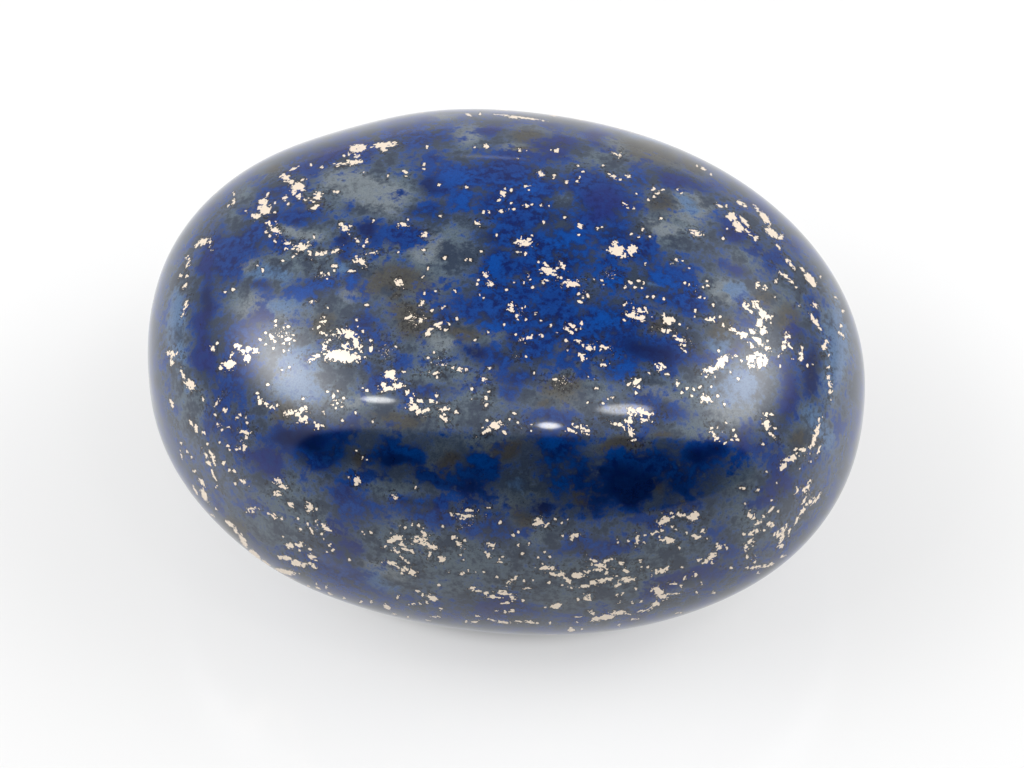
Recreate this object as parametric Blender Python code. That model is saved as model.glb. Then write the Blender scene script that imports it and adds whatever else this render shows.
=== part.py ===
"""A tumble-polished lapis lazuli pebble, one solid stone that lies on a small flat spot.

Metres, +Z up. X is the stone's length and Y its width. The origin is at the middle of the resting spot.
"""

import math

import bmesh
import bpy
from mathutils import Vector

# The stone's size before its worn spots, in metres. The height is above the resting spot.
LENGTH = 0.0321
WIDTH = 0.0245
HEIGHT = 0.0183

# Polishing has left a small flat spot underneath, this much short of the full round.
REST_CUT = 0.0002

# How square the oval is: 2 would be an ellipse, and more has fuller corners.
PLAN_FULLNESS = 2.10
PROFILE_FULLNESS = 2.31

# The body starts as a sphere primitive with this many subdivisions, 5120 triangles.
SPHERE_SUBDIVISIONS = 5

# Where the rough piece's flats and corners still show through the polish.
# Each is its azimuth from +X towards +Y and its elevation from the centre, both in degrees,
# its height in metres, less than nothing for a flat, and its half-width in degrees.
WORN_SPOTS = (
    (27, 13, -0.00012, 22),
    (137, 23, -0.00024, 15),
    (-171, 2, -0.00015, 13),
    (-78, -25, -0.00005, 26),
    (-130, -19, 0.00011, 14),
    (-20, -12, 0.00007, 16),
)

LAZURITE_BLUE = (0.018, 0.046, 0.205, 1.0)
POLISHED_ROUGHNESS = 0.12
STONE_IOR = 1.5


def clear_scene():
    """Removes whatever the file starts with."""
    for old in list(bpy.data.objects):
        bpy.data.objects.remove(old)


def polished_stone_material():
    """Opaque blue stone with a high polish."""
    material = bpy.data.materials.new("polished_lapis")
    material.use_nodes = True
    shader = material.node_tree.nodes["Principled BSDF"]
    shader.inputs["Base Color"].default_value = LAZURITE_BLUE
    shader.inputs["Roughness"].default_value = POLISHED_ROUGHNESS
    shader.inputs["Metallic"].default_value = 0.0
    shader.inputs["IOR"].default_value = STONE_IOR
    material.diffuse_color = LAZURITE_BLUE
    return material


def oval_radius(way):
    """Distance from the centre to the even, superelliptic oval along a unit vector."""
    half_height = (HEIGHT + REST_CUT) / 2
    plan = (
        abs(2 * way.x / LENGTH) ** PLAN_FULLNESS
        + abs(2 * way.y / WIDTH) ** PLAN_FULLNESS
    )
    profile = (
        plan ** (PROFILE_FULLNESS / PLAN_FULLNESS)
        + abs(way.z / half_height) ** PROFILE_FULLNESS
    )
    return profile ** (-1 / PROFILE_FULLNESS)


def wear(way):
    """How far the worn spots lift or lower the surface along a unit vector."""
    lift = 0.0
    for azimuth, elevation, height, half_width in WORN_SPOTS:
        around, up = math.radians(azimuth), math.radians(elevation)
        peak = Vector(
            (
                math.cos(around) * math.cos(up),
                math.sin(around) * math.cos(up),
                math.sin(up),
            )
        )
        angle = way.angle(peak)
        lift += height * math.exp(-((angle / math.radians(half_width)) ** 2))
    return lift


def grind_flat(body):
    """Cuts the resting spot through z = 0 and closes it with one flat face."""
    everything = body.verts[:] + body.edges[:] + body.faces[:]
    cut = bmesh.ops.bisect_plane(
        body,
        geom=everything,
        dist=1e-6,
        plane_co=(0, 0, 0),
        plane_no=(0, 0, 1),
        clear_inner=True,
    )
    rim = [part for part in cut["geom_cut"] if isinstance(part, bmesh.types.BMEdge)]
    bmesh.ops.contextual_create(body, geom=rim)


def centre_in_plan(body):
    """Puts the middle of the stone's length and width over the origin."""
    for axis in (0, 1):
        low = min(vertex.co[axis] for vertex in body.verts)
        high = max(vertex.co[axis] for vertex in body.verts)
        for vertex in body.verts:
            vertex.co[axis] -= (low + high) / 2


def make_stone(collection):
    """The pebble: a sphere pulled out to the worn oval, then ground flat underneath."""
    body = bmesh.new()
    bmesh.ops.create_icosphere(body, subdivisions=SPHERE_SUBDIVISIONS, radius=1.0)
    lift_to_rest = Vector((0, 0, (HEIGHT - REST_CUT) / 2))
    for vertex in body.verts:
        way = vertex.co.normalized()
        vertex.co = way * (oval_radius(way) + wear(way)) + lift_to_rest
    grind_flat(body)
    centre_in_plan(body)
    bmesh.ops.recalc_face_normals(body, faces=body.faces)

    mesh = bpy.data.meshes.new("lapis_stone")
    body.to_mesh(mesh)
    body.free()
    mesh.shade_smooth()
    mesh.set_sharp_from_angle(angle=math.radians(30))
    mesh.materials.append(polished_stone_material())
    stone = bpy.data.objects.new("lapis_stone", mesh)
    collection.objects.link(stone)
    return stone


def main():
    clear_scene()
    collection = bpy.data.collections.new("lapis_lazuli_pebble")
    bpy.context.scene.collection.children.link(collection)
    make_stone(collection)


main()
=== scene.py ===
"""Looks of the polished lapis lazuli pebble: its fine surface, its markings, the light and the camera.

The scene is in metres, in the frame's own axes. Lengths on the stone's surface are in millimetres.
Places on the side that the photograph shows are pixels of its 1024 x 768 frame, cast onto the stone.
The hidden sides carry markings of the same kinds, scattered from a fixed seed.
"""

import math
from collections import namedtuple

import bmesh
import bpy
import numpy as np
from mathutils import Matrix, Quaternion, Vector, noise

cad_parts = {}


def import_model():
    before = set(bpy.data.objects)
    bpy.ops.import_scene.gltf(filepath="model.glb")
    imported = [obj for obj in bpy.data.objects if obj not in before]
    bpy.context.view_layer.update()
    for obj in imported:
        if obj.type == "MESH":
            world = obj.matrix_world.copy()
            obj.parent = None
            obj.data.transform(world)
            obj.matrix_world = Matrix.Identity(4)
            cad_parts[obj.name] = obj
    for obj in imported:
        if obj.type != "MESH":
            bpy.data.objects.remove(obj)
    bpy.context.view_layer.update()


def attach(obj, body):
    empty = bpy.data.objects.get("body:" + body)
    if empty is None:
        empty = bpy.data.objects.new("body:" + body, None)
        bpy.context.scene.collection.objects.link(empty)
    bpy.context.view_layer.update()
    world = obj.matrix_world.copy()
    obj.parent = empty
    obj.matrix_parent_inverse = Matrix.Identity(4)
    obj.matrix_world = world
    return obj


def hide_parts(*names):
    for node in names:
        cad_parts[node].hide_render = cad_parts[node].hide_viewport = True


MM = 0.001

# The photograph's frame and camera. The lens is long, as for a close-up from some way off.
PHOTO_WIDTH = 1024
PHOTO_HEIGHT = 768
SENSOR_WIDTH_MM = 36.0
FOCAL_PIXELS = 6000.0
PIXELS_PER_MM = 22.54
CAMERA_AZIMUTH = 10.1
CAMERA_ELEVATION = 50.0
STONE_CENTRE_PIXEL = (505.2, 369.8)

# The stone's form, as the solid has it: full size before its worn spots, in millimetres.
LENGTH = 32.1
WIDTH = 24.5
HEIGHT = 18.3
REST_CUT = 0.2
PLAN_FULLNESS = 2.10
PROFILE_FULLNESS = 2.31

# Flats and corners that show through the polish:
# azimuth and elevation in degrees, height in millimetres, half-width in degrees.
WORN_SPOTS = (
    (27, 13, -0.12, 22),
    (137, 23, -0.24, 15),
    (-171, 2, -0.15, 13),
    (-78, -25, -0.05, 26),
    (-130, -19, 0.11, 14),
    (-20, -12, 0.07, 16),
)

# The fine mesh: quads along each edge of the cube that is pulled out to the stone.
GRID = 126

# Hand polishing leaves the surface very slightly wavy: height and spacing in millimetres.
RIPPLE_HEIGHT = 0.012
RIPPLE_SPACING = 5.0

# The UV map for baking keeps this far inside its square.
UV_MARGIN = 0.003

# Patch edges wander by this much, at this spacing, in millimetres.
WANDER = 0.4
WANDER_SPACING = 1.3

# The colours drift in clouds of this size, in millimetres. Each octave is weaker by the first number
# and finer by the second, and the third counts them.
CLOUD_SPACING = 1.1
CLOUD_OCTAVES = (1.0, 2.0, 3)

# How steeply a patch's hold falls across its edge.
PATCH_STEEPNESS = 3

# A mark near the stone's outline is drawn as if the surface faced the camera at least this much.
LEAST_FACING = 0.22

# A place that faces the camera less than this counts as hidden, and gets its marks by chance.
# The seed fixes these marks, and how the patch edges wander.
HIDDEN_FACING = 0.12
SEED = 7

# The palette, as screen values of 0 to 255.
LAZURITE_DARK = (4, 27, 84)
LAZURITE_LIGHT = (10, 57, 125)
COBALT = (0, 62, 138)
VIOLET = (20, 30, 92)
NAVY = (3, 15, 58)
GREY_DARK = (53, 65, 82)
GREY_LIGHT = (88, 101, 109)
GREY_PALE = (112, 120, 125)
BROWN = (65, 62, 53)
# Pale blue-grey, also used for the painted sheen along the left and right edges.
PALE = (74, 105, 144)
# A near-black blue: the mottling, and the painted shade over the band across the front.
MOTTLE_AND_PAINTED_SHADE = (0, 6, 22)
RIM = (24, 22, 26)
PYRITE = (226, 211, 193)

# The material's noises: spots to a millimetre, octaves, and how strong the finer octaves are.
FINE_NOISE = (3.2, 3, 0.65)
CRUMB_NOISE = (7.0, 1, 0.6)
GRAIN_NOISE = (15.0, 1, 0.6)

# How far the cloud and the fine noise swing the patches' fields, and what each adds to the lightness.
CLOUD_SWING = 0.5
FINE_SWING = 1.7
CLOUD_LIGHTNESS = 0.4
FINE_LIGHTNESS = 1.2

# A kind of patch starts to show where its swung field is at the first value, shows fully at the second,
# and then covers as much as the third says.
SHARES = {
    "brown": (0.22, 0.85, 0.85),
    "pale": (0.3, 0.95, 0.8),
    "violet": (0.3, 1.0, 0.7),
    "cobalt": (0.3, 1.0, 0.8),
    "navy": (0.3, 1.0, 0.75),
    "lazurite": (0.2, 0.8, 1.0),
}

# Fades: the value at each end, and the share there.
MATRIX_FADE = (0.5, 1.1, 0.0, 1.0)
BLUE_FADE = (0.35, 0.65, 0.0, 1.0)
LIGHT_FADE = (-0.2, -0.8, 0.0, 0.85)
# The painted shade over the band across the front fades in with this.
PAINTED_SHADE_FADE = (0.15, 0.9, 0.0, 0.55)
MOTTLE_FADE = (0.9, 0.5, 0.0, 0.3)
GRAIN_FADE = (0.35, 0.75, 0.0, 0.25)
PYRITE_FADE = (0.012, -0.012, 0.0, 1.0)
RIM_FADE = (0.09, 0.0, 0.0, 0.7)
DUST_FADE = (0.4, 0.05, 0.0, 0.9)

# A fleck ends this far out in its oval, and the noises make its edge and its dark rim ragged.
FLECK_REACH = 0.9
CRUMB_RAGGEDNESS = 0.5
FINE_RAGGEDNESS = 0.25
RIM_RAGGEDNESS = 0.6

# Specks of dust show where the grain noise is above a level that falls with the dust,
# and their edges are softened as if the noise rose by 1 in so many millimetres.
SPECK_LEVEL = 1.35
SPECK_FALL = 0.70
SPECK_SLOPE = 0.25

STONE_IOR = 1.46
STONE_ROUGHNESS = 0.07
PYRITE_ROUGHNESS = 0.38
PYRITE_METALLIC = 0.25

# Patches of colour, as soft-edged ovals: pixel x and y, half-length and half-width in pixels,
# and turn in degrees anticlockwise, where it is turned.
BLUE_PATCHES = (
    (425, 137, 28, 8, 5), (395, 133, 14, 6, 15), (335, 155, 44, 7, 18), (300, 162, 14, 6, 35),
    (495, 172, 40, 12), (530, 205, 45, 28, -10), (600, 200, 32, 22, -15), (430, 212, 22, 9, -10),
    (435, 187, 18, 9), (400, 235, 22, 9, -5), (500, 238, 24, 12), (545, 245, 34, 18, -10),
    (615, 230, 20, 12), (645, 250, 16, 14, -20), (500, 265, 22, 14), (555, 262, 30, 14), (350, 205, 8, 5),
    (300, 217, 16, 8), (250, 237, 22, 12), (275, 190, 14, 6, 20), (275, 215, 10, 8), (500, 305, 30, 22),
    (555, 320, 28, 26), (530, 345, 24, 14), (605, 320, 24, 18), (650, 345, 42, 18, -15),
    (640, 320, 24, 10, -10), (690, 300, 22, 12), (445, 320, 14, 10), (480, 350, 22, 10, -10),
    (500, 358, 14, 8), (405, 358, 5, 7), (360, 325, 14, 12), (425, 390, 24, 8), (520, 378, 20, 8),
    (508, 392, 12, 8), (378, 378, 8, 8), (664, 408, 16, 18, -20), (550, 417, 16, 6), (255, 290, 10, 6),
    (345, 255, 8, 8), (305, 440, 34, 10, -5), (320, 455, 24, 12), (400, 458, 22, 9), (440, 480, 16, 7, -25),
    (478, 480, 20, 16, -10), (565, 450, 26, 14), (640, 480, 60, 26), (700, 465, 26, 22), (535, 506, 10, 6),
    (340, 432, 10, 5), (350, 515, 24, 22, -15), (490, 530, 26, 12), (590, 550, 34, 10),
    (700, 572, 26, 12, 15), (725, 540, 16, 20, 20), (775, 495, 16, 16, 30), (350, 575, 30, 14, -25),
    (500, 610, 34, 10), (420, 510, 30, 10, -10), (240, 350, 20, 30), (225, 260, 18, 20),
)
COBALT_PATCHES = (
    (455, 176, 18, 7), (463, 202, 9, 12, -10), (527, 185, 14, 8), (562, 238, 18, 16), (640, 178, 10, 8),
    (710, 216, 9, 4, 10), (665, 285, 22, 14, -5), (615, 280, 10, 9), (402, 264, 10, 7), (490, 265, 10, 9),
    (355, 273, 11, 9), (305, 294, 18, 9, 15), (322, 284, 12, 6), (605, 318, 14, 12), (618, 370, 12, 12, -20),
    (495, 325, 14, 8), (365, 370, 10, 5), (405, 452, 12, 6), (480, 465, 18, 7, -10), (620, 455, 12, 6, -20),
    (555, 480, 10, 14), (550, 440, 12, 6),
)
VIOLET_PATCHES = (
    (330, 152, 40, 7, 20), (495, 128, 14, 7), (555, 147, 26, 9), (598, 138, 9, 7), (675, 178, 28, 9, -18),
    (258, 318, 16, 8, 10), (605, 205, 24, 14), (735, 235, 12, 10, -30), (742, 272, 10, 8, -20),
    (208, 265, 8, 24), (205, 340, 9, 50), (790, 335, 11, 12), (790, 400, 9, 28), (745, 435, 7, 11),
    (265, 465, 16, 14, 30), (780, 490, 16, 16), (735, 350, 9, 7), (690, 575, 30, 10, 15),
    (345, 545, 24, 16, -20), (490, 605, 20, 8),
)
NAVY_PATCHES = (
    (365, 230, 10, 8), (345, 240, 8, 6), (300, 440, 30, 8), (475, 487, 10, 8), (640, 490, 40, 16),
    (540, 506, 9, 6), (700, 455, 18, 10), (430, 186, 10, 7), (478, 352, 12, 7), (645, 350, 24, 10, -15),
    (812, 370, 8, 26), (205, 300, 8, 18), (600, 472, 16, 8), (395, 462, 14, 6),
)
GREY_PATCHES = (
    (355, 190, 38, 22), (398, 195, 22, 22), (415, 268, 40, 20), (455, 235, 20, 18, -20),
    (300, 262, 40, 12, 5), (245, 195, 8, 9), (230, 220, 6, 8, 30), (305, 232, 30, 6), (465, 140, 16, 11),
    (525, 138, 18, 9), (600, 160, 22, 10, -10), (675, 222, 28, 14, -10), (700, 210, 20, 14, -20),
    (560, 198, 8, 7), (665, 240, 20, 8), (720, 290, 22, 14, -30), (745, 260, 20, 10, -40),
    (440, 345, 30, 16), (440, 375, 34, 14), (480, 338, 30, 10), (560, 395, 34, 14), (600, 385, 24, 14),
    (480, 400, 30, 14), (450, 415, 40, 10), (290, 345, 30, 20), (330, 370, 30, 18), (350, 400, 36, 14),
    (700, 390, 40, 22), (700, 425, 40, 12), (780, 310, 24, 16, -50), (770, 340, 14, 14), (520, 495, 26, 16),
    (440, 455, 20, 12), (480, 445, 30, 10), (740, 485, 22, 14, 30), (390, 490, 30, 10), (540, 538, 22, 12),
    (385, 575, 30, 14, -20), (450, 585, 30, 14), (470, 555, 30, 10), (280, 530, 30, 14, -10),
    (560, 600, 40, 10), (660, 550, 14, 10), (190, 400, 14, 24), (800, 440, 12, 14, 40), (330, 312, 24, 12),
    (240, 300, 14, 14), (430, 555, 120, 24, -12), (610, 575, 100, 26, 8), (300, 510, 55, 20, -35),
    (740, 525, 45, 26, 30),
)
BROWN_PATCHES = (
    (272, 170, 9, 6, 30), (525, 137, 18, 9), (650, 148, 36, 12, -20), (690, 165, 14, 6, -35),
    (530, 151, 16, 3), (310, 206, 8, 6), (395, 282, 28, 14), (395, 298, 10, 8), (415, 320, 26, 16, -20),
    (325, 325, 12, 14), (465, 333, 22, 8), (560, 390, 24, 14), (540, 405, 10, 5), (400, 418, 30, 8),
    (355, 462, 8, 14), (450, 460, 12, 6), (510, 448, 16, 12), (445, 474, 5, 8), (578, 492, 12, 8),
    (525, 515, 12, 10), (620, 445, 24, 7), (665, 436, 14, 4), (658, 322, 16, 9, -10),
    (660, 202, 14, 10, -10), (720, 330, 14, 12), (785, 320, 14, 12), (765, 300, 14, 8), (800, 440, 10, 8),
    (233, 529, 12, 10, -45), (285, 412, 12, 12), (662, 490, 6, 10), (567, 345, 8, 8), (683, 510, 8, 5),
)
# Pale blue-grey patches. The long rows along the left and right outline are painted sheen: they lighten the
# edges as the haze of reflection there does.
PALE_AND_EDGE_SHEEN_PATCHES = (
    (265, 275, 22, 9), (285, 305, 26, 12, 10), (345, 265, 12, 6), (720, 345, 16, 10, -20),
    (735, 290, 16, 10, -30), (690, 205, 16, 8, -20), (745, 388, 30, 22), (300, 385, 30, 18),
    (300, 360, 26, 14), (375, 580, 28, 10, -25), (515, 485, 14, 8), (655, 287, 16, 3, -10),
    (652, 139, 30, 5, -12), (838, 345, 14, 50, -4), (176, 330, 9, 50, 4), (822, 430, 12, 26, 25),
)

# Where fine specks of pyrite dust the stone, where shade is painted in, and where the matrix is lighter.
DUST_PATCHES = (
    (326, 277, 8, 7), (279, 333, 18, 14), (333, 338, 12, 10), (385, 350, 18, 18), (395, 297, 8, 8),
    (417, 320, 16, 18), (438, 360, 14, 8), (520, 355, 12, 8), (526, 282, 10, 7), (561, 385, 16, 16),
    (486, 397, 8, 10), (523, 427, 12, 6, -10), (579, 172, 5, 9), (655, 197, 9, 9), (489, 217, 6, 5),
    (627, 206, 5, 6), (643, 234, 8, 6), (694, 232, 8, 4), (610, 274, 12, 10), (697, 290, 12, 8),
    (725, 323, 6, 6), (685, 345, 8, 8), (735, 435, 6, 8), (716, 435, 7, 10), (757, 360, 12, 10),
    (785, 345, 8, 10), (220, 425, 8, 8), (242, 417, 8, 8), (337, 400, 10, 10), (190, 385, 8, 6, -45),
    (228, 470, 8, 8), (315, 530, 10, 14), (405, 525, 12, 4), (465, 525, 14, 8), (510, 583, 8, 6),
    (585, 598, 10, 6), (640, 565, 10, 8), (634, 536, 8, 6), (668, 541, 8, 5), (782, 535, 10, 14),
    (808, 495, 10, 14, 40), (755, 555, 12, 8), (592, 343, 16, 8, -20), (582, 296, 10, 8), (518, 312, 10, 8),
    (630, 305, 8, 6), (655, 325, 14, 9, -10),
)
# Painted shade: the band across the front, which mirrors the dark opening for the camera, darkened in the
# colour.
PAINTED_SHADE_PATCHES = (
    (420, 461, 120, 28, -8), (550, 474, 120, 38, -6), (655, 477, 84, 34), (345, 455, 45, 14, -12),
)
LIGHT_PATCHES = (
    (364, 189, 46, 16, -25), (247, 265, 14, 8), (270, 308, 34, 14, 5), (348, 293, 14, 9), (298, 234, 20, 5),
    (465, 133, 16, 9), (442, 117, 20, 4, 5), (426, 246, 16, 14), (520, 150, 22, 6), (640, 147, 36, 10, -15),
    (692, 206, 22, 13, -20), (660, 226, 20, 8, -10), (724, 290, 16, 14, -30), (300, 385, 26, 20),
    (735, 410, 26, 18), (440, 345, 16, 9), (560, 395, 22, 8), (382, 572, 24, 9, -20), (660, 395, 20, 9),
    (350, 402, 18, 7),
)

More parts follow.
